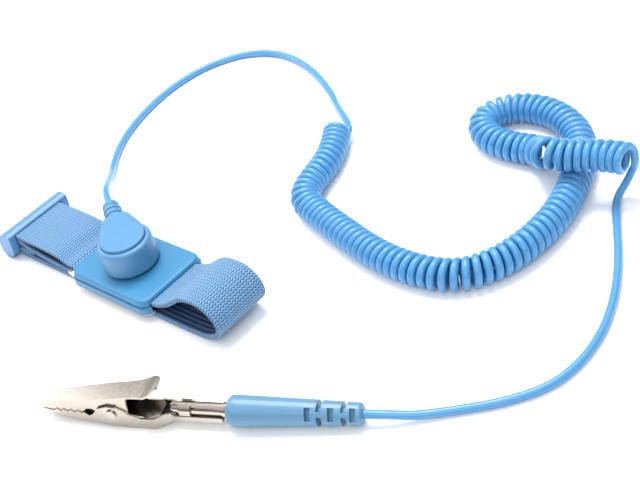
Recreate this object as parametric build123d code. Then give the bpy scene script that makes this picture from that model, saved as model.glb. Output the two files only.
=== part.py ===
"""ESD wrist strap: an elastic wristband with a snap plate, a snap connector, a curly
earthing cord, and a banana plug with an alligator clip.  Millimetres, +Z up.

The origin is under the middle of the wristband and connector, on the surface that the
strap lies on.  +X runs along the flattened band from the slider to the bare fold.
"""
from build123d import *
import math
import os

os.makedirs("parts", exist_ok=True)

# ---------------------------------------------------------------- driving dimensions
BAND_WIDTH = 21.5            # elastic webbing
BAND_THICK = 1.8
BAND_MID = BAND_THICK / 2

PLATE_X = 6.7                # middle of the snap plate along the band
PLATE_LONG = 41.0
PLATE_WIDE = 28.0
PLATE_BOTTOM = 2.9
PLATE_TOP = 8.1
PLATE_WALL = 1.6

STUD_HEAD_R = 4.85           # 10 mm press stud
SOCKET_R = 6.2
PUCK_R = 9.4                 # snap connector
PUCK_BOTTOM = 8.9
PUCK_PARTING = 13.0
PUCK_SHOULDER = 18.3
PUCK_TOP = 19.4
NECK_ANGLE = 151.5           # the way the cord leaves the connector, from +X
NECK_Z = 12.9
NECK_END = 18.5              # distances from the stud's axis
RELIEF_END = 31.5

CORD_D = 2.6
COIL_D = 10.5
COIL_Z = COIL_D / 2 + 0.02
CORD_Z = CORD_D / 2 + 0.02

BOOT_LENGTH = 39.5
BOOT_END = (118.4, -12.9)    # where the cord enters the plug's boot
BOOT_ANGLE = 207.5
BOOT_END_Z = 3.8
BOOT_FRONT_Z = 5.1
PIN_ANGLE = 204.0            # the pin leans a little in its soft boot
PIN_Z = 5.3
PIN_SLEEVE_R = 2.0
SHEET = 0.6                  # steel sheet of the clip
PIVOT = (36.5, 5.4)          # clip's pivot: distance from the boot's face, and height


# ---------------------------------------------------------------- helpers
def save(shape, name):
    """Write one sub-part."""
    export_step(shape, f"parts/{name}.step")


def corner_radii(points, share=0.45):
    """The largest arcs that the runs beside each corner allow."""
    radii = []
    for before, here, after in zip(points, points[1:], points[2:]):
        run_in = Vector(*here) - Vector(*before)
        run_out = Vector(*after) - Vector(*here)
        half_turn = math.radians(run_in.get_angle(run_out)) / 2
        radii.append(share * min(run_in.length, run_out.length) / math.tan(half_turn))
    return radii


def tube(points, diameter, name):
    """A cord: straight runs joined by tangent arcs."""
    radii = corner_radii(points)
    path = FilletPolyline(*points, radius=radii)
    start = Plane(origin=path @ 0, z_dir=path % 0)
    solid = sweep(start * Circle(diameter / 2), path=path)
    expected = math.pi * diameter ** 2 / 4 * path.length
    print(f"{name}: length {path.length:.1f}, volume ratio {solid.volume / expected:.3f}, radii",
          " ".join(f"{radius:.0f}" for radius in radii))
    return solid


def strip(points, width=BAND_WIDTH, thickness=BAND_THICK, radii=None):
    """Webbing that follows (x, z) points, centred on the XZ plane."""
    route = [(x, 0, z) for x, z in points]
    if len(route) == 2:
        path = Line(*route)
    else:
        path = FilletPolyline(*route, radius=radii or corner_radii(route))
    start = Plane(origin=path @ 0, x_dir=(0, 1, 0), z_dir=path % 0)
    return sweep(start * Rectangle(width, thickness), path=path)


def rounded_box(x0, x1, half_width, z0, z1, corner):
    """A plate with rounded corners in plan."""
    sketch = RectangleRounded(x1 - x0, 2 * half_width, corner)
    return Pos((x0 + x1) / 2, 0, z0) * extrude(sketch, z1 - z0)


def side_profile(points, width, offset=0.0):
    """A solid with an outline in (x, z), extruded along Y about the middle."""
    face = Plane.XZ * make_face(Polyline(*points, close=True))
    return Pos(0, offset, 0) * extrude(face, width / 2, both=True)


def plan_profile(points, z0, z1):
    """A solid with a symmetrical outline given by (x, half width) stations."""
    outline = [(x, half) for x, half in points] + [(x, -half) for x, half in reversed(points)]
    return Pos(0, 0, z0) * extrude(make_face(Polyline(*outline, close=True)), z1 - z0)


def from_neck(shape):
    """Move a shape built along +X from the stud's axis to the connector."""
    return Pos(PLATE_X, 0, 0) * Rot(0, 0, NECK_ANGLE) * shape


def at_boot(shape):
    """Move a shape built along +X from the boot's cord end to its place."""
    return Pos(BOOT_END[0], BOOT_END[1], 0) * Rot(0, 0, BOOT_ANGLE) * shape


BOOT_TURN = math.radians(BOOT_ANGLE)
PIN_ROOT = (BOOT_END[0] + BOOT_LENGTH * math.cos(BOOT_TURN),
            BOOT_END[1] + BOOT_LENGTH * math.sin(BOOT_TURN))


def at_pin(shape):
    """Move a shape built along +X from the boot's front face to its place."""
    return Pos(PIN_ROOT[0], PIN_ROOT[1], 0) * Rot(0, 0, PIN_ANGLE) * shape


def along_x(radius, x0, x1, z, y=0.0):
    """A cylinder along X."""
    return Pos(x0, y, z) * Rot(0, 90, 0) * Cylinder(radius, x1 - x0,
                                                   align=(Align.CENTER, Align.CENTER, Align.MIN))


def upright(radius, z0, z1, x=0.0, y=0.0):
    """A cylinder along Z."""
    return Pos(x, y, z0) * Cylinder(radius, z1 - z0, align=(Align.CENTER, Align.CENTER, Align.MIN))


def across(radius, half_length, x, z):
    """A cylinder along Y."""
    return Pos(x, 0, z) * Rot(90, 0, 0) * Cylinder(radius, 2 * half_length)


# ---------------------------------------------------------------- elastic band
# One strip of webbing, cut into simple lengths: from the plate up over the bare fold,
# back under the plate to the slider, over it to the plate's bar, and back to its end.
FOLD_TOP = (39.5, 11.7)
FOLD_BOTTOM = (45.75, 1.25)
BOTTOM_SPLIT = -18.0
SLIDER_SIDE = -45.0
TOP_LAYER = 8.95
FOLD_LEFT = -53.6
BAR = (-16.7, 4.7)
BAR_WRAP = 1.7               # from the bar's axis to the middle of the webbing

band_top_right = strip([(15, 4.9), (25.5, 4.9), (34.2, 8.0), FOLD_TOP])
band_right_fold = strip([FOLD_TOP, (44.5, 15.2), (54.0, 16.0), (59.4, 11.0), (58.4, 4.9),
                         (51.5, 1.6), FOLD_BOTTOM])
band_bottom = strip([FOLD_BOTTOM, (40, BAND_MID), (BOTTOM_SPLIT, BAND_MID)])
band_bottom_left = strip([(BOTTOM_SPLIT, BAND_MID), (SLIDER_SIDE, BAND_MID)])
band_left_fold = strip([(SLIDER_SIDE, BAND_MID), (FOLD_LEFT, BAND_MID), (FOLD_LEFT, TOP_LAYER),
                        (SLIDER_SIDE, TOP_LAYER)],
                       radii=[3.6, 3.6])
bar_top = BAR[1] + BAR_WRAP
bar_bottom = BAR[1] - BAR_WRAP
bar_right = BAR[0] + BAR_WRAP
band_top_left = strip([(SLIDER_SIDE, TOP_LAYER), (-25, TOP_LAYER), (-19.5, bar_top), (bar_right, bar_top),
                       (bar_right, BAR[1])], radii=[7.0, 4.0, BAR_WRAP - 0.02])
band_return = strip([(bar_right, BAR[1]), (bar_right, bar_bottom), (-20, bar_bottom + 0.02), (-30, 3.5),
                     (-39, 4.7), (-42.7, 5.12)], radii=[BAR_WRAP - 0.02, 40, 40, 40])
END_BAR = (-49.9, 5.0)
END_WRAP = 1.9
end_left = END_BAR[0] - END_WRAP
end_top = END_BAR[1] + END_WRAP
end_bottom = END_BAR[1] - END_WRAP
band_end_loop = strip([(-43.0, 5.15), (-47.1, end_top), (end_left, end_top), (end_left, end_bottom),
                       (-47.4, end_bottom), (-42.1, end_bottom + 0.05)],
                      radii=[4.0, END_WRAP - 0.03, END_WRAP - 0.03, 40])

for name, shape in (("band_top_right", band_top_right), ("band_right_fold", band_right_fold),
                    ("band_bottom", band_bottom), ("band_bottom_left", band_bottom_left),
                    ("band_left_fold", band_left_fold), ("band_top_left", band_top_left),
                    ("band_return", band_return), ("band_end_loop", band_end_loop)):
    save(shape, name)

# Two rows of lock stitches hold the band's end round the slider's bar.
stitches = []
for row_x, row_z in ((-44.1, 6.58), (-45.0, 6.95)):
    for index in range(9):
        y = (index - 4) * 2.2
        stitches.append(Pos(row_x, y, row_z) * Rot(0, 23, 0) * Box(0.4, 1.5, 0.3))
save(Compound(children=stitches), "end_stitches")


# ---------------------------------------------------------------- slider
SLIDER_LEFT = -57.2
CHEEK_Y = 11.15
CHEEK_OUT = 13.8
slider_outline = [(SLIDER_LEFT, 2.2), (-56.0, 0.4), (-53.8, 0.05), (-51.4, 0.8), (-49.0, 3.2), (-48.2, 6.0),
                  (-47.5, 9.2), (-47.5, 10.6), (-49.0, 11.4), (-51.4, 11.2), (-54.2, 9.8), (-56.3, 6.2)]
slider_block = side_profile(slider_outline, 2 * CHEEK_OUT)
tunnel = side_profile([(-54.8, -1), (-54.8, 10.05), (-40, 10.05), (-40, -1)], 2 * CHEEK_Y)
slider_block = fillet(slider_block.edges().filter_by(Axis.Y), 0.9)
slider_block = slider_block - tunnel
slider_block = slider_block + across(0.95, CHEEK_Y + 0.5, *END_BAR)
save(slider_block, "slider_buckle")


# ---------------------------------------------------------------- snap plate
PLATE_LEFT = PLATE_X - PLATE_LONG / 2
PLATE_RIGHT = PLATE_X + PLATE_LONG / 2
HALF_PLATE = PLATE_WIDE / 2
TIER = 5.4                   # height of the step round the cover
lower_tier = rounded_box(PLATE_LEFT, PLATE_RIGHT, HALF_PLATE, PLATE_BOTTOM, TIER, 4.0)
upper_tier = rounded_box(PLATE_LEFT + 0.5, PLATE_RIGHT - 0.5, HALF_PLATE - 0.5, TIER, PLATE_TOP, 3.6)
upper_tier = fillet(upper_tier.edges().group_by(Axis.Z)[-1], 1.1)
plate_cover = lower_tier + upper_tier
cavity = rounded_box(PLATE_LEFT + PLATE_WALL, PLATE_RIGHT - PLATE_WALL, HALF_PLATE - PLATE_WALL,
                     PLATE_BOTTOM - 1, PLATE_TOP - PLATE_WALL, 2.6)
band_slot = Pos(PLATE_RIGHT, 0, 4.6) * Box(8, BAND_WIDTH + 0.8, 4.0)
clamp_rib = Pos(20.5, 0, 6.2) * Box(1.2, BAND_WIDTH - 1, 0.7)
plate_cover = plate_cover - cavity - band_slot - upright(4.1, 6, 9, PLATE_X) + clamp_rib

BACK_TOP = PLATE_BOTTOM
BACK_THICK = 0.8
back_plate = rounded_box(PLATE_LEFT + 0.7, PLATE_RIGHT - 0.7, HALF_PLATE - 0.7, BACK_TOP - BACK_THICK,
                         BACK_TOP, 3.4)
back_plate = back_plate - upright(2.0, 0, 4, PLATE_X)
end_flange = Pos(23.6, 0, BACK_TOP + 0.5) * Box(0.8, BAND_WIDTH - 1, 1.0)
ARM_Y = BAND_WIDTH / 2 + 0.8
back_plate = back_plate + end_flange
for side in (-1, 1):
    arm = side_profile([(BAR[0] - 0.6, BAR[1] - 0.6), (BAR[0] - 0.6, BAR[1] + 0.6),
                        (BAR[0] + 1.5, BAR[1] + 0.6), (-11.4, BACK_TOP), (-11.4, BACK_TOP - BACK_THICK),
                        (PLATE_LEFT + 0.2, BACK_TOP - BACK_THICK)],
                       0.9, side * ARM_Y)
    back_plate = back_plate + arm
back_plate = back_plate + across(0.6, ARM_Y, *BAR)
notch = Pos(PLATE_LEFT + 0.1, 0, 4.4) * Box(4.4, 2 * ARM_Y + 1.4, 3.0 + 0.02)
save(back_plate, "back_plate")
plate_cover = plate_cover - notch
save(plate_cover, "plate_cover")

stud_flange_z = PLATE_TOP - PLATE_WALL
stud = upright(6.5, stud_flange_z - 0.8, stud_flange_z, PLATE_X)
stud = stud + upright(4.0, stud_flange_z, 9.9, PLATE_X)
head = upright(STUD_HEAD_R, 9.9, 12.3, PLATE_X)
head = fillet(head.edges().group_by(Axis.Z)[-1], 1.2)
head = chamfer(head.edges().group_by(Axis.Z)[0], 0.5)
stud = stud + head - upright(2.05, 5, 9.0, PLATE_X)
save(stud, "snap_stud")

rivet = upright(1.95, BACK_TOP - BACK_THICK, 8.9, PLATE_X) + upright(3.6, BACK_TOP, BACK_TOP + 0.7, PLATE_X)
save(rivet, "stud_rivet")


# ---------------------------------------------------------------- snap connector
def teardrop(radius, neck_half, neck_x):
    """A round puck with a neck along +X."""
    angle = math.radians(58)
    start_x = radius * math.cos(angle)
    start_half = radius * math.sin(angle)
    side = [(0, 0), (start_x, start_half), (neck_x - 3.4, neck_half + 1.5), (neck_x, neck_half)]
    outline = side + [(x, -half) for x, half in reversed(side[1:])]
    return Circle(radius) + make_face(Polyline(*outline, close=True))


NECK_HALF = 3.6
NECK_BOTTOM = NECK_Z - 3.4
base = extrude(Circle(PUCK_R), PUCK_PARTING - PUCK_BOTTOM)
base = Pos(0, 0, PUCK_BOTTOM) * base
base = fillet(base.edges().group_by(Axis.Z)[0], 0.6)
neck_plan = teardrop(PUCK_R - 0.4, NECK_HALF, NECK_END)
neck_low = Pos(0, 0, NECK_BOTTOM) * extrude(neck_plan, PUCK_PARTING - NECK_BOTTOM)
base = base + neck_low
relief_bore = along_x(1.5, 10, 30, NECK_Z)
socket_seat = upright(SOCKET_R + 0.1, 8, 12.0)
inner_low = Pos(0, 0, 12.0) * extrude(teardrop(PUCK_R - 1.6, 2.0, 16.0), 1.0)
base = base - socket_seat - inner_low - relief_bore
save(from_neck(base), "connector_base")

shell_plan = teardrop(PUCK_R, NECK_HALF, NECK_END)
upper = Pos(0, 0, PUCK_PARTING) * extrude(shell_plan, PUCK_SHOULDER - PUCK_PARTING)
upper = fillet(upper.edges().group_by(Axis.Z)[-1], 1.3)
slope = side_profile([(13, 19.5), (13, 18.4), (NECK_END + 1, NECK_Z + 3.6), (NECK_END + 1, 19.5)], 20)
upper_cavity = Pos(0, 0, PUCK_PARTING - 0.5) * extrude(teardrop(PUCK_R - 1.6, 2.0, 16.0), 3.2)
lid_seat = Pos(0, 0, 17.2) * extrude(teardrop(PUCK_R - 1.6, 2.5, 15.2), 2.0)
upper = upper - slope - upper_cavity - lid_seat - relief_bore
save(from_neck(upper), "connector_cover")

lid = Pos(0, 0, 17.2) * extrude(teardrop(PUCK_R - 1.8, 2.3, 15.0), PUCK_TOP - 17.2)
lid = fillet(lid.edges().group_by(Axis.Z)[-1], 0.6)
save(from_neck(lid), "connector_lid")

socket = upright(SOCKET_R, PUCK_BOTTOM + 0.3, 13.2) - upright(5.25, 8, 12.5)
socket = socket - (upright(5.7, 10.0, 11.0) - upright(5.0, 9.9, 11.1))
save(Pos(PLATE_X, 0, 0) * socket, "snap_socket")

spring_ring = Pos(0, 0, 10.5) * Torus(5.3, 0.35)
spring_gap = Pos(5.3, 0, 10.5) * Box(2.4, 1.6, 2)
save(from_neck(spring_ring - spring_gap), "socket_spring")

RESISTOR_Z = 14.4
resistor_body = along_x(1.15, 3.0, 9.4, RESISTOR_Z)
resistor_body = fillet(resistor_body.edges(), 0.5)
save(from_neck(resistor_body), "safety_resistor")
lead_in = along_x(0.3, 0.6, 3.0, RESISTOR_Z) + upright(0.3, 13.5, RESISTOR_Z + 0.3, 0.9)
lead_out = along_x(0.3, 9.4, 13.4, RESISTOR_Z)
save(from_neck(Compound(children=[lead_in, lead_out])), "resistor_leads")
tag = Pos(0.9, 0, 13.35) * Box(4.0, 2.4, 0.3)
save(from_neck(tag), "socket_tag")
crimp = along_x(0.95, 13.4, 16.0, RESISTOR_Z - 0.25)
save(from_neck(crimp), "cord_crimp")

# Ribbed strain relief: a soft taper with three rings.
relief = Pos(NECK_END, 0, NECK_Z) * Rot(0, 90, 0) * Cone(3.2, 2.3, RELIEF_END - NECK_END,
                                                         align=(Align.CENTER, Align.CENTER, Align.MIN))
relief_rings = ((20.0, 3.35), (23.2, 3.3), (26.4, 3.15), (29.5, 2.85))
for ring_x, ring_r in relief_rings:
    ring = along_x(ring_r + 0.2, ring_x - 1.15, ring_x + 1.15, NECK_Z)
    relief = relief + fillet(ring.edges(), 0.5)
save(from_neck(relief), "connector_relief")


# ---------------------------------------------------------------- cord
neck_turn = math.radians(NECK_ANGLE)
relief_tip = (PLATE_X + RELIEF_END * math.cos(neck_turn), RELIEF_END * math.sin(neck_turn), NECK_Z)
lead_meet = (-42.5, 29.7, 7.4)
lead_near_points = [relief_tip, (-28.2, 18.9, 12.9), (-35.8, 24.4, 10.6), lead_meet]
lead_landing = (-59.75, 44.8, CORD_Z + 0.3)
lead_far_points = [lead_meet, (-49.2, 35.0, 4.2), (-56.0, 40.6, CORD_Z + 0.6), lead_landing]
lead_table_points = [lead_landing, (-63.5, 49.0, CORD_Z), (-70.4, 60.4, CORD_Z),
                     (-75.6, 76.0, CORD_Z), (-77.8, 93.0, CORD_Z),
                     (-75.0, 109.5, CORD_Z), (-66.5, 122.6, CORD_Z), (-52.5, 129.4, CORD_Z),
                     (-37.0, 128.6, CORD_Z), (-20.5, 122.6, CORD_Z), (-4.0, 113.4, CORD_Z),
                     (3.2, 107.8, CORD_Z + 0.2), (9.4, 103.4, 3.0), (15.6, 99.2, 4.2), (21.0, 95.6, 4.8),
                     (24.8, 91.8, 4.6)]
save(tube(lead_near_points, CORD_D, "lead_near"), "lead_near")
save(tube(lead_far_points, CORD_D, "lead_drop"), "lead_drop")
save(tube(lead_table_points, CORD_D, "lead_on_table"), "lead_on_table")

HUMP = COIL_Z + COIL_D + 0.55
COIL_PLAN = ((21.3, 89.2), (27.2, 80.8), (31.2, 71.0), (33.2, 60.0), (37.6, 52.2), (47.5, 49.0),
             (63.0, 44.6), (80.0, 40.3), (96.5, 39.4), (110.0, 42.6), (118.2, 53.0), (121.8, 67.0),
             (121.6, 82.0), (117.4, 97.0), (112.6, 108.4), (106.0, 117.4), (97.0, 123.4), (87.6, 126.2),
             (78.4, 125.4), (71.8, 121.0), (69.6, 114.6), (72.6, 108.4), (79.6, 104.6), (88.6, 104.0),
             (97.6, 105.2))
CROSSING = [(103.0, 102.9, 7.4), (108.4, 98.8, 12.2), (113.6, 95.6, HUMP + 0.1),
            (121.2, 95.9, HUMP), (128.0, 98.1, HUMP), (134.0, 100.3, HUMP)]
coil_points = [(x, y, COIL_Z) for x, y in COIL_PLAN] + CROSSING
cuts = (0, 2, 5, 8, 11, 13, 17, 21, 25)


def middle(a, b):
    """The point half way between two points."""
    return tuple((u + v) / 2 for u, v in zip(a, b))


coil_names = []
for number, first in enumerate(cuts):
    last = cuts[number + 1] if number + 1 < len(cuts) else len(coil_points) - 1
    start = coil_points[0] if first == 0 else middle(coil_points[first], coil_points[first + 1])
    final = number + 1 == len(cuts)
    end = coil_points[last] if final else middle(coil_points[last], coil_points[last + 1])
    inside = coil_points[first + 1:last] if final else coil_points[first + 1:last + 1]
    coil_name = f"coil_{number + 1}"
    save(tube([start, *inside, end], COIL_D, coil_name), coil_name)
    coil_names.append(coil_name)

tail_points = [(132.9, 103.6, 14.6), (132.2, 103.4, 10.0), (130.4, 102.2, 4.4), (131.2, 96.6, CORD_Z),
               (137.6, 86.2, CORD_Z), (146.4, 72.6, CORD_Z), (154.6, 56.0, CORD_Z), (159.8, 39.0, CORD_Z),
               (157.8, 22.6, CORD_Z), (149.0, 10.6, CORD_Z), (137.4, 0.8, CORD_Z), (130.4, -5.2, 1.8),
               (123.9, -9.95, 3.5)]
boot_mouth = (BOOT_END[0], BOOT_END[1], BOOT_END_Z)
save(tube([*tail_points, boot_mouth], CORD_D, "tail"), "tail")


# ---------------------------------------------------------------- banana plug
def boot_radius(x):
    """The boot's radius at a distance from its cord end."""
    return 3.15 + 1.5 * x / BOOT_LENGTH


def boot_z(x):
    """Height of the boot's axis at a distance from its cord end."""
    return BOOT_END_Z + (BOOT_FRONT_Z - BOOT_END_Z) * x / BOOT_LENGTH


boot_tilt = -math.degrees(math.atan2(BOOT_FRONT_Z - BOOT_END_Z, BOOT_LENGTH))
boot_profile = Polyline((0, 0), (0, boot_radius(0)), (17.2, boot_radius(17.2) + 0.1),
                        (BOOT_LENGTH, boot_radius(BOOT_LENGTH)), (BOOT_LENGTH, 0), close=True)
boot = revolve(Plane.XZ * make_face(boot_profile), Axis.X)
boot = fillet(boot.edges().sort_by(Axis.X)[-1], 2.2)
boot = fillet(boot.edges().sort_by(Axis.X)[0], 0.7)
core_r = 1.75
TWIST = -52                  # the openings lean to one side of the boot
NOTCHES = (4.8, 11.8)
for notch_x in NOTCHES:
    gap = along_x(8, notch_x - 0.75, notch_x + 0.75, 0) - along_x(core_r, notch_x - 0.8, notch_x + 0.8, 0)
    boot = boot - (gap - Rot(TWIST, 0, 0) * Pos(notch_x, 0, 0) * Box(3, 1.5, 9))
WINDOWS = (2.2, 8.4, 15.0)
for window_x in WINDOWS:
    for side in (-1, 1):
        opening = Pos(window_x, 0, side * (boot_radius(window_x) + 0.1)) * Box(1.7, 3.8, 3.4)
        boot = boot - Rot(TWIST, 0, 0) * opening
boot = boot - along_x(1.1, 28, BOOT_LENGTH + 1, 0)
boot = Pos(0, 0, BOOT_END_Z) * Rot(0, boot_tilt, 0) * boot
save(at_boot(boot), "plug_boot")

PIN_END = 17.5
pin = along_x(1.0, -4.0, PIN_END, PIN_Z)
pin_tip = along_x(1.75, 15.6, PIN_END + 0.9, PIN_Z)
pin_tip = fillet(pin_tip.edges().sort_by(Axis.X)[-1], 1.2)
pin_collar = along_x(2.3, 0.05, 1.2, PIN_Z)
save(at_pin(pin + pin_tip + pin_collar), "banana_pin")

sleeve = along_x(PIN_SLEEVE_R, 1.35, 15.4, PIN_Z) - along_x(1.08, 1, 16, PIN_Z)
for turn in range(4):
    slot = Pos(8.4, 0, PIN_Z) * Rot(90 * turn + 45, 0, 0) * Pos(0, 0, 1.9) * Box(9.5, 0.45, 2.4)
    sleeve = sleeve - slot
save(at_pin(sleeve), "contact_sleeve")


# ---------------------------------------------------------------- alligator clip
CLIP_TIP = 61.5
PIVOT_X, PIVOT_Z = PIVOT


def shell(side_points, inner_side_points, plan, inner_plan, z0=-1.0, z1=22.0):
    """Bent sheet: a side outline within a plan outline, less the same one sheet inside."""
    outer = side_profile(side_points, 40) & plan_profile(plan, z0, z1)
    inner = side_profile(inner_side_points, 40) & plan_profile(inner_plan, z0, z1)
    return outer - inner


tail_half = PIN_SLEEVE_R + 0.1 + SHEET
lower_plan = [(1.5, tail_half), (17.5, tail_half), (22.5, 4.15), (38.0, 4.15), (CLIP_TIP, 2.3)]
lower_inner_plan = [(0, tail_half - SHEET), (17.5, tail_half - SHEET), (22.5, 4.15 - SHEET),
                    (38.0, 4.15 - SHEET),
                    (CLIP_TIP - 0.6, 2.3 - SHEET)]
tail_bottom = PIN_Z - PIN_SLEEVE_R - 0.1 - SHEET
teeth_lower = []
TOOTH = 2.5
for index in range(5):
    x = 46.5 + index * TOOTH
    teeth_lower += [(x, 4.9), (x + TOOTH / 2, 4.0)]
lower_side = ([(1.5, tail_bottom), (17.5, tail_bottom), (24.0, 0.05), (31.0, 0.05), (CLIP_TIP, 2.3),
               (CLIP_TIP, 4.6)]
              + list(reversed(teeth_lower))
              + [(45.0, 3.6), (43.2, 4.6), (41.0, 7.0), (37.5, 8.3), (34.5, 7.9), (31.0, 5.6), (27.5, 4.0),
                 (24.0, 3.9), (19.0, 5.2), (17.6, 5.2), (16.6, 4.3), (1.5, 4.3)])
lower_inner_side = [(0, tail_bottom + SHEET), (17.5, tail_bottom + SHEET), (24.0, 0.05 + SHEET),
                    (31.0, 0.05 + SHEET),
                    (CLIP_TIP - 0.6, 2.3 + SHEET), (CLIP_TIP - 0.6, 21), (0, 21)]
lower_jaw = shell(lower_side, lower_inner_side, lower_plan, lower_inner_plan)
ear_ring = along_x(tail_half, 11.2, 14.6, PIN_Z) - along_x(tail_half - SHEET, 11, 15, PIN_Z)
ear_ring = ear_ring - Pos(13, 0, PIN_Z + 3) * Box(6, 1.9, 6) - Pos(13, 0, PIN_Z - 4.1) * Box(6, 8, 6)
lower_jaw = lower_jaw + ear_ring
lower_jaw = lower_jaw - across(1.05, 6, PIVOT_X, PIVOT_Z)
save(at_pin(lower_jaw), "clip_lower_jaw")

TAB_X = 23.0                 # middle of the round finger tab
TAB_R = 4.3
tab_plan = [(TAB_X - TAB_R * math.cos(math.radians(step)), TAB_R * math.sin(math.radians(step)))
            for step in range(6, 120, 12)]
upper_plan = tab_plan + [(27.6, 3.5), (28.8, 3.35), (38.0, 3.35), (CLIP_TIP, 2.2)]
upper_inner_plan = [(19, 2.75), (28.8, 3.35 - SHEET), (38.0, 3.35 - SHEET), (CLIP_TIP - 0.6, 2.2 - SHEET)]
teeth_upper = []
for index in range(5):
    x = 46.5 + index * TOOTH
    teeth_upper += [(x, 5.1), (x + TOOTH / 2, 4.2)]
upper_side = ([(18.6, 15.3), (21.0, 14.1), (24.0, 13.0), (28.0, 12.2), (32.0, 11.6), (CLIP_TIP - 0.8, 7.6),
               (CLIP_TIP, 6.8), (CLIP_TIP, 4.8)]
              + list(reversed(teeth_upper))
              + [(45.4, 6.0), (43.4, 6.1), (41.5, 4.6), (38.5, 3.3), (33.5, 3.3), (31.4, 5.6), (30.0, 11.2),
                 (27.8, 11.6), (23.8, 12.4), (20.7, 13.5), (18.3, 14.7)])
upper_inner_side = [(29.2, 0), (29.2, 12.0 - SHEET), (32.0, 11.6 - SHEET), (CLIP_TIP - 0.6, 7.5 - SHEET),
                    (CLIP_TIP - 0.6, 0)]
upper_jaw = shell(upper_side, upper_inner_side, upper_plan, upper_inner_plan)
upper_jaw = upper_jaw - across(1.05, 6, PIVOT_X, PIVOT_Z)
save(at_pin(upper_jaw), "clip_upper_jaw")

rivet_pin = across(0.98, 4.25, PIVOT_X, PIVOT_Z)
for side in (-1, 1):
    rivet_pin = rivet_pin + Pos(PIVOT_X, side * 4.45, PIVOT_Z) * Rot(90, 0, 0) * Cylinder(1.6, 0.5)
save(at_pin(rivet_pin), "clip_rivet")

# Torsion spring: six turns round the rivet and two arms.
spring = across(2.0, 2.1, PIVOT_X, PIVOT_Z) - across(1.25, 3, PIVOT_X, PIVOT_Z)
arm_low = Pos(PIVOT_X - 4.2, 1.7, PIVOT_Z - 3.1) * Rot(0, -14, 0) * Box(8.6, 0.7, 0.7)
arm_high = Pos(PIVOT_X - 3.9, -1.7, PIVOT_Z + 3.2) * Rot(0, 20, 0) * Box(8.4, 0.7, 0.7)
save(at_pin(spring + arm_low + arm_high), "clip_spring")
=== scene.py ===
import math

import bpy
import numpy as np
from mathutils import Matrix, Vector


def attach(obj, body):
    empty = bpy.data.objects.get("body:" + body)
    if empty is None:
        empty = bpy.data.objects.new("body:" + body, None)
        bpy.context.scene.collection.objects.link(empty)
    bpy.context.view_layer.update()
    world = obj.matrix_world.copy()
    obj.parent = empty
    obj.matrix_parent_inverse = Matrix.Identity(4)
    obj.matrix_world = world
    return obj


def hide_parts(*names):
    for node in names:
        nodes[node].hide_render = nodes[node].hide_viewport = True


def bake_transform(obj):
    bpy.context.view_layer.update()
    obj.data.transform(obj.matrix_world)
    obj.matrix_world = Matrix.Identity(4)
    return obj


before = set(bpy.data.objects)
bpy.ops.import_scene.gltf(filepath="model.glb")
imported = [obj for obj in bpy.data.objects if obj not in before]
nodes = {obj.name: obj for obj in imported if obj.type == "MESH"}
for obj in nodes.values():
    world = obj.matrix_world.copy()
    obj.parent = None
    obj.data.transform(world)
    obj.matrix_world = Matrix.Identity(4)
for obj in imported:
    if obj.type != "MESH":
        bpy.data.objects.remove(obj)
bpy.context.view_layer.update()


# ---------------------------------------------------------------- small helpers
def mm(*values):
    """Millimetres to a point in metres."""
    return Vector([value / 1000 for value in values])


def colour(code):
    """An sRGB hex colour as linear RGBA."""
    parts = [int(code[i:i + 2], 16) / 255 for i in (0, 2, 4)]
    return [p / 12.92 if p <= 0.04045 else ((p + 0.055) / 1.055) ** 2.4 for p in parts] + [1.0]


def add_node(tree, kind, inputs=None, **settings):
    """Adds a node; an input is a value, or another node's output to link."""
    node = tree.nodes.new(kind)
    for key, value in settings.items():
        setattr(node, key, value)
    for key, value in (inputs or {}).items():
        if isinstance(value, bpy.types.NodeSocket):
            tree.links.new(value, node.inputs[key])
        else:
            node.inputs[key].default_value = value
    return node


def new_material(name):
    """An empty node material with its Principled shader."""
    material = bpy.data.materials.new(name)
    material.use_nodes = True
    return material, material.node_tree, material.node_tree.nodes["Principled BSDF"]


def dress(piece, material):
    """Gives a piece one material, in place of what it had."""
    piece.data.materials.clear()
    piece.data.materials.append(material)


# ---------------------------------------------------------------- routes and tubes
def lay_route(name, points):
    """A smooth NURBS line steered by given points in millimetres; returns what it passes."""
    curve = bpy.data.curves.new(name, "CURVE")
    curve.dimensions = "3D"
    curve.resolution_u = 40
    spline = curve.splines.new("NURBS")
    spline.points.add(len(points) - 1)
    for knot, place in zip(spline.points, points):
        knot.co = (*mm(*place), 1.0)
    spline.order_u = 3
    spline.use_endpoint_u = True
    holder = bpy.data.objects.new(name, curve)
    bpy.context.scene.collection.objects.link(holder)
    mesh = bpy.data.meshes.new_from_object(holder)
    line = np.array([vertex.co for vertex in mesh.vertices], float)
    bpy.data.objects.remove(holder)
    bpy.data.curves.remove(curve)
    bpy.data.meshes.remove(mesh)
    return line


def even(line, step):
    """The same line with points an even step apart."""
    gaps = np.linalg.norm(np.diff(line, axis=0), axis=1)
    along = np.concatenate([[0], np.cumsum(gaps)])
    count = max(2, int(round(along[-1] / step)) + 1)
    marks = np.linspace(0, along[-1], count)
    return np.stack([np.interp(marks, along, line[:, k]) for k in range(3)], 1)


def run_length(line):
    """How long a line is, in metres."""
    return float(np.linalg.norm(np.diff(line, axis=0), axis=1).sum())


def directions(line):
    """Unit tangents along a line."""
    way = np.gradient(line, axis=0)
    return way / np.linalg.norm(way, axis=1)[:, None]


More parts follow.
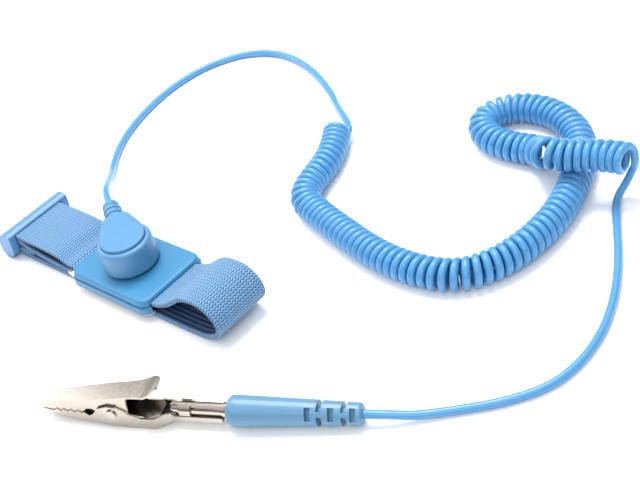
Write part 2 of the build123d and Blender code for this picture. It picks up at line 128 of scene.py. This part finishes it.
def ease_between(start, start_way, end, end_way, step=0.0008, pull=1.0):
    """A short curve that leaves one line and joins another without a kink."""
    reach = np.linalg.norm(end - start) * pull
    t = np.linspace(0, 1, max(6, int(reach / step)))[:, None]
    return ((2 * t ** 3 - 3 * t ** 2 + 1) * start + (t ** 3 - 2 * t ** 2 + t) * reach * start_way
            + (3 * t ** 2 - 2 * t ** 3) * end + (t ** 3 - t ** 2) * reach * end_way)


def draw_tube(name, line, radius, sides):
    """A closed round tube round a line; the rings never twist."""
    ways = directions(line)
    side = np.cross(ways[0], (0, 0, 1.0))
    side /= np.linalg.norm(side)
    turns = np.linspace(0, 2 * math.pi, sides, endpoint=False)
    rings = []
    for centre, way in zip(line, ways):
        side = side - way * side.dot(way)
        side /= np.linalg.norm(side)
        lift = np.cross(way, side)
        rings.append(centre + radius * (np.cos(turns)[:, None] * side + np.sin(turns)[:, None] * lift))
    count = len(rings)
    faces = [(i * sides + j, i * sides + (j + 1) % sides, (i + 1) * sides + (j + 1) % sides,
              (i + 1) * sides + j) for i in range(count - 1) for j in range(sides)]
    faces.append(tuple(range(sides - 1, -1, -1)))
    faces.append(tuple(range((count - 1) * sides, count * sides)))
    mesh = bpy.data.meshes.new(name)
    mesh.from_pydata(np.concatenate(rings).tolist(), [], faces)
    mesh.shade_smooth()
    piece = bpy.data.objects.new(name, mesh)
    bpy.context.scene.collection.objects.link(piece)
    return piece


# ---------------------------------------------------------------- cord
CORD_R = 0.0013              # radius of the jacket, in metres; the routes are in millimetres
NEAR_POINTS = [(-15.5, 12.04, 12.9), (-21.0, 15.0, 12.9), (-28.2, 18.9, 12.9), (-35.8, 24.4, 10.6),
               (-42.5, 29.7, 7.4)]
DROP_POINTS = [(-42.5, 29.7, 7.4), (-49.2, 35.0, 4.2), (-56.0, 40.6, 1.92), (-59.75, 44.8, 1.62),
               (-63.5, 49.0, 1.32), (-66.95, 54.7, 1.32)]
LEAD_POINTS = [(-66.95, 54.7, 1.32), (-70.4, 60.4, 1.32), (-75.6, 76.0, 1.32), (-77.8, 93.0, 1.32),
               (-75.0, 109.5, 1.32), (-66.5, 122.6, 1.32), (-52.5, 129.4, 1.32), (-37.0, 128.6, 1.32),
               (-20.5, 122.6, 1.32), (-4.0, 113.4, 1.32), (3.2, 107.8, 1.52), (9.4, 103.4, 3.0),
               (15.6, 99.2, 4.2), (21.0, 95.6, 4.8), (24.0, 92.8, 4.8)]
COIL_POINTS = [(21.3, 89.2, 5.27), (27.2, 80.8, 5.27), (31.2, 71.0, 5.27), (33.2, 60.0, 5.27),
               (37.6, 52.2, 5.27), (47.5, 49.0, 5.27), (63.0, 44.6, 5.27), (80.0, 40.3, 5.27),
               (96.5, 39.4, 5.27), (110.0, 42.6, 5.27), (118.2, 53.0, 5.27), (121.8, 67.0, 5.27),
               (121.6, 82.0, 5.27), (117.4, 97.0, 5.27), (112.6, 108.4, 5.27), (106.0, 117.4, 5.27),
               (97.0, 123.4, 5.27), (87.6, 126.2, 5.27), (78.4, 125.4, 5.27), (71.8, 121.0, 5.27),
               (69.6, 114.6, 5.27), (72.6, 108.4, 5.27), (79.6, 104.6, 5.27), (88.6, 104.0, 5.27),
               (95.4, 105.2, 5.27), (99.8, 104.4, 5.9), (105.2, 98.2, 11.0), (108.9, 92.6, 16.4),
               (116.0, 93.4, 16.42), (123.6, 96.4, 16.32), (130.4, 98.6, 16.42), (136.0, 98.6, 16.62)]
TAIL_POINTS = [(134.6, 103.0, 9.8), (132.2, 102.2, 4.4), (131.2, 96.6, 1.32), (137.6, 86.2, 1.32),
               (146.4, 72.6, 1.32), (154.6, 56.0, 1.32), (159.0, 39.0, 1.32), (157.6, 22.6, 1.32),
               (149.0, 10.6, 1.32), (137.4, 0.8, 1.32), (130.4, -5.2, 1.8), (123.9, -9.95, 3.5),
               (118.4, -12.9, 3.8), (116.6, -13.84, 3.86)]
TURN_R = 0.00395             # from the coil's axis to the middle of its cord
TIGHT_PITCH = 0.00268        # turns that just touch
# (place along the coil, half width, extra pitch) where the turns stand a little apart, in metres
LOOSE_SPOTS = ((0.107, 0.018, 0.00028), (0.205, 0.016, 0.0003))
CORE_STEP = 0.0002           # spacing of the points along the coil's axis
BEND_SHARE = 0.35            # how much of a bend's extra outer length opens the turns
BEND_LIMIT = 0.2


def wind(core, start_angle, end_angle, steps=30):
    """A left-handed curly cord round its core line, tight on the inside of each bend."""
    core = even(core, CORE_STEP)
    ways = directions(core)
    sides = np.cross((0, 0, 1.0), ways)
    sides /= np.linalg.norm(sides, axis=1)[:, None]
    lifts = np.cross(ways, sides)
    bend = np.linalg.norm(np.gradient(ways, CORE_STEP, axis=0), axis=1)
    bend = np.convolve(np.pad(bend, 15, "edge"), np.ones(31) / 31, "valid")
    along = np.arange(len(core)) * CORE_STEP
    pitch = TIGHT_PITCH / (1 - np.minimum(BEND_LIMIT, bend * TURN_R * BEND_SHARE))
    for middle, width, extra in LOOSE_SPOTS:
        pitch = pitch + extra * np.exp(-((along - middle) / width) ** 2)
    turned = np.concatenate([[0], np.cumsum(CORE_STEP / pitch[:-1])])
    whole = round(turned[-1] - (start_angle - end_angle) / 360) + (start_angle - end_angle) / 360
    turned *= whole / turned[-1]
    marks = np.linspace(0, whole, int(whole * steps))
    places = np.interp(marks, turned, np.arange(len(core)))
    low = np.minimum(places.astype(int), len(core) - 2)
    share = (places - low)[:, None]
    centres, across, upward = (rows[low] * (1 - share) + rows[low + 1] * share
                               for rows in (core, sides, lifts))
    angles = math.radians(start_angle) - 2 * math.pi * marks
    print("curly turns", round(whole, 2))
    return centres + TURN_R * (np.cos(angles)[:, None] * across + np.sin(angles)[:, None] * upward)


near_line = even(lay_route("near_route", NEAR_POINTS), 0.0008)
drop_line = even(lay_route("drop_route", DROP_POINTS), 0.0008)
lead_line = even(lay_route("lead_route", LEAD_POINTS), 0.001)
curly_line = wind(lay_route("coil_route", COIL_POINTS), -18, -20)
tail_line = even(lay_route("tail_route", TAIL_POINTS), 0.001)
into_coil = ease_between(lead_line[-1], directions(lead_line)[-1], curly_line[0],
                         directions(curly_line)[0], pull=1.1)
out_of_coil = ease_between(curly_line[-1], directions(curly_line)[-1], tail_line[0],
                           directions(tail_line)[0], pull=1.0)
cord_line = np.concatenate([lead_line[:-1], into_coil[:-1], curly_line[:-1], out_of_coil[:-1],
                            tail_line])

near_cord = draw_tube("cord_at_connector", near_line, CORD_R, 14)
drop_cord = draw_tube("cord_drop", drop_line, CORD_R, 14)
main_cord = draw_tube("curly_cord", cord_line, CORD_R, 12)


# ---------------------------------------------------------------- webbing
BAND_HALF = 10.75            # half the width of the webbing, mm
WEB_HALF = 0.9               # half its thickness, mm
EDGE = 0.0006                # how far in from the side the selvedge rounds, in metres
ROUND_STEPS = (0.52, 1.05, 1.57, 2.09, 2.62)    # angles round that edge
BAND_POINTS = [(15, 4.9), (25.5, 4.9), (34.2, 8.0), (39.5, 11.7), (44.5, 15.2), (54.0, 16.0),
               (59.4, 11.0), (58.4, 4.9), (51.5, 1.6), (45.75, 1.25), (40, 0.92), (-18, 0.92),
               (-45, 0.92), (-49.4, 0.92), (-53.5, 1.1), (-53.7, 4.9), (-53.5, 8.8), (-49.4, 8.95),
               (-45, 8.95), (-25, 8.95), (-19.5, 6.4), (-16.4, 6.42), (-14.95, 5.9), (-14.95, 4.7),
               (-14.95, 3.5), (-16.4, 3.0), (-20, 3.02), (-30, 3.5), (-39, 4.7), (-42.7, 5.12),
               (-47.1, 6.9), (-50.2, 6.95), (-51.8, 6.3), (-51.8, 5.0), (-51.8, 3.7), (-50.2, 3.08),
               (-47.4, 3.1), (-42.1, 3.15)]


def weave_band(name, points):
    """Two-sided elastic webbing along an (x, z) route, with rounded edges and a map in millimetres."""
    line = even(lay_route("band_route", [(x, 0, z) for x, z in points]), 0.0006)
    ways = directions(line)
    outward = np.stack([-ways[:, 2], np.zeros(len(line)), ways[:, 0]], 1)
    half, thick = BAND_HALF / 1000, WEB_HALF / 1000
    flat = 2 * half - 2 * EDGE
    section = [(-half + EDGE + flat * i / 12, thick) for i in range(13)]
    section += [(half - EDGE + EDGE * math.sin(a), thick * math.cos(a)) for a in ROUND_STEPS]
    section += [(half - EDGE - flat * i / 12, -thick) for i in range(13)]
    section += [(-half + EDGE - EDGE * math.sin(a), -thick * math.cos(a)) for a in ROUND_STEPS]
    around = len(section)
    places = []
    for centre, out in zip(line, outward):
        places += [centre + np.array((0, y, 0)) + out * t for y, t in section]
    faces, marks = [], []
    for i in range(len(line) - 1):
        for j in range(around):
            k = (j + 1) % around
            faces.append((i * around + j, i * around + k, (i + 1) * around + k, (i + 1) * around + j))
            # faces on the band's back side take the second material, whose dark colour is painted shade
            marks.append(1 if 17 < j < 30 else 0)
    faces.append(tuple(range(around - 1, -1, -1)))
    faces.append(tuple(range((len(line) - 1) * around, len(line) * around)))
    marks += [0, 0]
    mesh = bpy.data.meshes.new(name)
    mesh.from_pydata([tuple(p) for p in places], [], faces)
    mesh.polygons.foreach_set("material_index", marks)
    map_layer = mesh.uv_layers.new(name="UVMap")
    step = run_length(line) * 1000 / (len(line) - 1)
    for polygon in mesh.polygons:
        for loop in polygon.loop_indices:
            corner = mesh.loops[loop].vertex_index
            y, _ = section[corner % around]
            map_layer.data[loop].uv = (y * 1000 + BAND_HALF, corner // around * step)
    mesh.shade_smooth()
    piece = bpy.data.objects.new(name, mesh)
    bpy.context.scene.collection.objects.link(piece)
    bpy.ops.object.select_all(action="DESELECT")
    bpy.context.view_layer.objects.active = piece
    piece.select_set(True)
    bpy.ops.object.mode_set(mode="EDIT")
    bpy.ops.mesh.select_all(action="SELECT")
    bpy.ops.mesh.normals_make_consistent(inside=False)
    bpy.ops.object.mode_set(mode="OBJECT")
    return piece


band = weave_band("elastic_band", BAND_POINTS)


# ---------------------------------------------------------------- materials
# weave sizes in millimetres, read from the UV map
COLUMN = 0.7                 # half a column of ribs
RIB_PITCH = 0.95             # from rib to rib along the band
RIB_SLANT = 0.7              # rise of a rib across its column
CORD_PITCH = 0.85            # half the pitch of the inside cords
PICK_PITCH = 1.1             # from one crossing yarn to the next


def woven_outside():
    """Polyester webbing woven over rubber: short slanted ribs in narrow columns, matt, soft sheen."""
    material, tree, shader = new_material("polyester_webbing_woven_outside")
    laid = add_node(tree, "ShaderNodeUVMap", uv_map="UVMap").outputs[0]
    place = add_node(tree, "ShaderNodeSeparateXYZ", {0: laid})
    column = add_node(tree, "ShaderNodeMath", {0: place.outputs[0], 1: COLUMN}, operation="PINGPONG")
    slant = add_node(tree, "ShaderNodeMath", {0: column.outputs[0], 1: RIB_SLANT, 2: place.outputs[1]},
                     operation="MULTIPLY_ADD")
    turns = add_node(tree, "ShaderNodeMath", {0: slant.outputs[0], 1: 2 * math.pi / RIB_PITCH},
                     operation="MULTIPLY")
    rib = add_node(tree, "ShaderNodeMath", {0: turns.outputs[0]}, operation="SINE")
    seam_dip = add_node(tree, "ShaderNodeMapRange", {0: column.outputs[0], 1: 0.0, 2: 0.2,
                                                     3: -0.8, 4: 0.0})
    fuzz = add_node(tree, "ShaderNodeTexNoise", {"Vector": laid, "Scale": 2.2, "Detail": 3.0})
    fuzz_part = add_node(tree, "ShaderNodeMath", {0: fuzz.outputs[0], 1: 1.1, 2: -0.55},
                         operation="MULTIPLY_ADD")
    height = add_node(tree, "ShaderNodeMath", {0: rib.outputs[0], 1: seam_dip.outputs[0]},
                      operation="ADD")
    height = add_node(tree, "ShaderNodeMath", {0: height.outputs[0], 1: fuzz_part.outputs[0]},
                      operation="ADD")
    ramp = add_node(tree, "ShaderNodeMapRange", {0: height.outputs[0], 1: -1.3, 2: 1.0})
    tint = add_node(tree, "ShaderNodeMix", {0: ramp.outputs[0], 6: colour("1B4A78"),
                                            7: colour("76A4CA")}, data_type="RGBA")
    tree.links.new(tint.outputs[2], shader.inputs["Base Color"])
    shader.inputs["Roughness"].default_value = 0.85
    shader.inputs["Sheen Weight"].default_value = 0.15
    bump = add_node(tree, "ShaderNodeBump", {"Height": height.outputs[0], "Strength": 0.5,
                                             "Distance": 0.00025})
    tree.links.new(bump.outputs[0], shader.inputs["Normal"])
    return material


def woven_inside_painted_shade():
    """The skin side: cords that run along the band, in a dark navy that is painted shade for the faces
    lying in shadow between the layers.
    """
    material, tree, shader = new_material("webbing_inside_painted_shade")
    laid = add_node(tree, "ShaderNodeUVMap", uv_map="UVMap").outputs[0]
    place = add_node(tree, "ShaderNodeSeparateXYZ", {0: laid})
    cords = add_node(tree, "ShaderNodeMath", {0: place.outputs[0], 1: CORD_PITCH}, operation="PINGPONG")
    cord_top = add_node(tree, "ShaderNodeMapRange", {0: cords.outputs[0], 1: 0.15, 2: 0.6},
                        interpolation_type="SMOOTHSTEP")
    picks = add_node(tree, "ShaderNodeMath", {0: place.outputs[1], 1: 2 * math.pi / PICK_PITCH},
                     operation="MULTIPLY")
    pick_wave = add_node(tree, "ShaderNodeMath", {0: picks.outputs[0]}, operation="SINE")
    height = add_node(tree, "ShaderNodeMath", {0: pick_wave.outputs[0], 1: 0.2, 2: cord_top.outputs[0]},
                      operation="MULTIPLY_ADD")
    ramp = add_node(tree, "ShaderNodeMapRange", {0: height.outputs[0], 1: 0.0, 2: 1.1})
    # painted shade: the dark navy stands in for the shadow between the band's layers; the cords and picks
    # are the weave
    tint = add_node(tree, "ShaderNodeMix", {0: ramp.outputs[0], 6: colour("141C33"),
                                            7: colour("3E5F8C")}, data_type="RGBA")
    tree.links.new(tint.outputs[2], shader.inputs["Base Color"])
    shader.inputs["Roughness"].default_value = 0.8
    bump = add_node(tree, "ShaderNodeBump", {"Height": height.outputs[0], "Strength": 0.5,
                                             "Distance": 0.0003})
    tree.links.new(bump.outputs[0], shader.inputs["Normal"])
    return material


def plastic(name, code, roughness, grain_mm, grain_depth, coat=0.0, shade=0.06, glow=0.0):
    """A moulded or extruded plastic: a fine grain in its gloss, and a slight unevenness in its colour."""
    material, tree, shader = new_material(name)
    place = add_node(tree, "ShaderNodeTexCoord").outputs["Object"]
    grain = add_node(tree, "ShaderNodeTexNoise", {"Vector": place, "Scale": 1000 / grain_mm,
                                                  "Detail": 2.0})
    cloud = add_node(tree, "ShaderNodeTexNoise", {"Vector": place, "Scale": 1000 / 14.0, "Detail": 2.0})
    base = colour(code)
    deep = [part * (1 - 2 * shade) for part in base[:3]] + [1.0]
    tint = add_node(tree, "ShaderNodeMix", {0: cloud.outputs[0], 6: deep, 7: base}, data_type="RGBA")
    tree.links.new(tint.outputs[2], shader.inputs["Base Color"])
    rough = add_node(tree, "ShaderNodeMapRange", {0: grain.outputs[0], 3: roughness - 0.05,
                                                  4: roughness + 0.07})
    tree.links.new(rough.outputs[0], shader.inputs["Roughness"])
    bump = add_node(tree, "ShaderNodeBump", {"Height": grain.outputs[0], "Strength": grain_depth,
                                             "Distance": 0.00008})
    tree.links.new(bump.outputs[0], shader.inputs["Normal"])
    shader.inputs["IOR"].default_value = 1.5
    shader.inputs["Coat Weight"].default_value = coat
    shader.inputs["Coat Roughness"].default_value = 0.12
    shader.inputs["Subsurface Weight"].default_value = glow
    shader.inputs["Subsurface Radius"].default_value = (0.25, 0.6, 1.0)
    shader.inputs["Subsurface Scale"].default_value = 0.0015
    return material


def metal(name, code, roughness, grain_mm, grain_depth, stretch=(1, 1, 1)):
    """Bare or plated metal: rolling marks in its gloss, and small changes of tone."""
    material, tree, shader = new_material(name)
    place = add_node(tree, "ShaderNodeTexCoord").outputs["Object"]
    stretched = add_node(tree, "ShaderNodeMapping", {"Vector": place, "Scale": stretch})
    grain = add_node(tree, "ShaderNodeTexNoise", {"Vector": stretched.outputs[0],
                                                  "Scale": 1000 / grain_mm, "Detail": 4.0})
    base = colour(code)
    deep = [part * 0.86 for part in base[:3]] + [1.0]
    tint = add_node(tree, "ShaderNodeMix", {0: grain.outputs[0], 6: deep, 7: base}, data_type="RGBA")
    tree.links.new(tint.outputs[2], shader.inputs["Base Color"])
    shader.inputs["Metallic"].default_value = 1.0
    rough = add_node(tree, "ShaderNodeMapRange", {0: grain.outputs[0], 3: roughness * 0.7,
                                                  4: roughness * 1.3})
    tree.links.new(rough.outputs[0], shader.inputs["Roughness"])
    bump = add_node(tree, "ShaderNodeBump", {"Height": grain.outputs[0], "Strength": grain_depth,
                                             "Distance": 0.00006})
    tree.links.new(bump.outputs[0], shader.inputs["Normal"])
    return material


band_outside = woven_outside()
band_inside_painted_shade = woven_inside_painted_shade()
# glossy jacket, so each turn of the coil carries a narrow highlight
polyurethane = plastic("polyurethane_cord_extruded", "478EC4", 0.34, 0.6, 0.1, coat=0.15, glow=0.1)
# softer satin on the boot, lit evenly with a broad highlight
vinyl = plastic("vinyl_boot_moulded", "5988AA", 0.38, 0.5, 0.12, coat=0.1, glow=0.15)
# fine satin moulding: the plate reads flatter and deeper than the connector
plate_abs = plastic("abs_plate_moulded_satin", "317CA8", 0.45, 0.35, 0.2, glow=0.05)
# the same satin in a paler batch, for the connector and its strain relief
lid_abs = plastic("abs_connector_moulded_satin", "5087B2", 0.42, 0.35, 0.2, glow=0.05)
# a little smoother, so the slider shows a line of light along its bar
nylon = plastic("nylon_slider_moulded", "5285BC", 0.4, 0.4, 0.15, glow=0.1)
# dull spun thread that breaks up the light
thread = plastic("polyester_thread_spun", "6FB0E4", 0.8, 0.25, 0.5)
# dipped coating with a wet-looking skin
resistor_coat = plastic("epoxy_resistor_dipped", "8FB8C8", 0.35, 0.5, 0.1)
# bright plating that mirrors the light and dark of the room
nickel = metal("steel_bright_nickel_plated", "BDB5AC", 0.2, 1.2, 0.12)
# rolled sheet with grain one way, less bright than the plating
stainless = metal("stainless_steel_rolled", "C6C3BE", 0.28, 0.5, 0.2, (1, 8, 1))
# drawn wire, darker and rougher
spring_steel = metal("spring_steel_drawn", "9A9996", 0.35, 0.4, 0.2)
# bare stamped contact metal, warm against the plating
brass = metal("brass_stamped", "C9A24E", 0.3, 0.5, 0.15)

band.data.materials.append(band_outside)
band.data.materials.append(band_inside_painted_shade)
for tube in (near_cord, drop_cord, main_cord):
    dress(tube, polyurethane)
for material, names in (
        (plate_abs, ("plate_cover",)),
        (lid_abs, ("connector_lid", "connector_cover", "connector_base", "connector_relief")),
        (nylon, ("slider_buckle",)),
        (thread, ("end_stitches",)),
        (vinyl, ("plug_boot",)),
        (nickel, ("clip_upper_jaw", "clip_lower_jaw", "clip_rivet", "contact_sleeve", "banana_pin",
                  "snap_stud", "snap_socket", "stud_rivet")),
        (stainless, ("back_plate", "resistor_leads")),
        (spring_steel, ("clip_spring", "socket_spring")),
        (brass, ("socket_tag", "cord_crimp")),
        (resistor_coat, ("safety_resistor",))):
    for name in names:
        dress(nodes[name], material)

# ---------------------------------------------------------------- what each piece stands for
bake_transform(near_cord)
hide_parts("lead_near")
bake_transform(drop_cord)
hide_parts("lead_drop")
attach(main_cord, "root")
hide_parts("lead_on_table", "tail", *[f"coil_{number}" for number in range(1, 10)])
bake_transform(band)
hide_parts("band_top_right", "band_right_fold", "band_bottom", "band_bottom_left",
            "band_left_fold", "band_top_left", "band_return", "band_end_loop")

print("cord lengths", round(run_length(near_line), 4), round(run_length(drop_line), 4),
      round(run_length(cord_line), 3))

# ---------------------------------------------------------------- table, light and camera
bpy.ops.object.select_all(action="DESELECT")
bpy.ops.mesh.primitive_plane_add(size=6, location=(0, 0, -0.0002))
table = bpy.context.object
table.name = "pale_table"
paint, _, paint_shader = new_material("pale_paper_sweep")
paint_shader.inputs["Base Color"].default_value = colour("FBFBFB")
paint_shader.inputs["Roughness"].default_value = 0.9
dress(table, paint)

world = bpy.data.worlds.new("studio")
bpy.context.scene.world = world
world.use_nodes = True
sky = world.node_tree
ray = add_node(sky, "ShaderNodeTexCoord").outputs["Generated"]
aim_of_ray = add_node(sky, "ShaderNodeSeparateXYZ", {0: ray})
# dim at the horizon and bright overhead, so that plated metal gets its dark and light bands
height_of_ray = add_node(sky, "ShaderNodeMapRange", {0: aim_of_ray.outputs[2], 1: 0.15, 2: 0.85,
                                                     3: 0.22, 4: 1.05},
                         interpolation_type="SMOOTHSTEP")
sky.links.new(height_of_ray.outputs[0], sky.nodes["Background"].inputs[1])
sky.nodes["Background"].inputs[0].default_value = (1, 1, 1, 1)


def softbox(name, place, aim, size, power):
    """A square softbox aimed at a point; both places are in millimetres."""
    light = bpy.data.lights.new(name, "AREA")
    light.shape = "SQUARE"
    light.size = size
    light.energy = power
    lamp = bpy.data.objects.new(name, light)
    lamp.location = mm(*place)
    lamp.rotation_mode = "QUATERNION"
    lamp.rotation_quaternion = (mm(*aim) - lamp.location).to_track_quat("-Z", "Y")
    bpy.context.scene.collection.objects.link(lamp)


softbox("softbox_above", (-150, 250, 900), (40, 40, 0), 0.5, 11)
softbox("softbox_front", (500, -500, 600), (40, 30, 0), 0.6, 3)
softbox("softbox_left", (-700, -100, 400), (20, 30, 0), 0.5, 2)

CAMERA_PLACE = (304.42, -150.41, 235.18)
CAMERA_RIGHT = (0.72546, 0.63986, -0.25356)
CAMERA_AHEAD = (-0.63856, 0.48826, -0.59485)

lens = bpy.data.cameras.new("camera")
lens.lens = 67.2
lens.sensor_width = 36
lens.sensor_fit = "HORIZONTAL"
lens.clip_start = 0.01
camera = bpy.data.objects.new("camera", lens)
bpy.context.scene.collection.objects.link(camera)
right = Vector(CAMERA_RIGHT).normalized()
ahead = Vector(CAMERA_AHEAD).normalized()
rise = right.cross(ahead)
camera.matrix_world = Matrix((right, rise, -ahead)).transposed().to_4x4()
camera.location = mm(*CAMERA_PLACE)
bpy.context.scene.camera = camera
bpy.context.scene.view_settings.view_transform = "Standard"
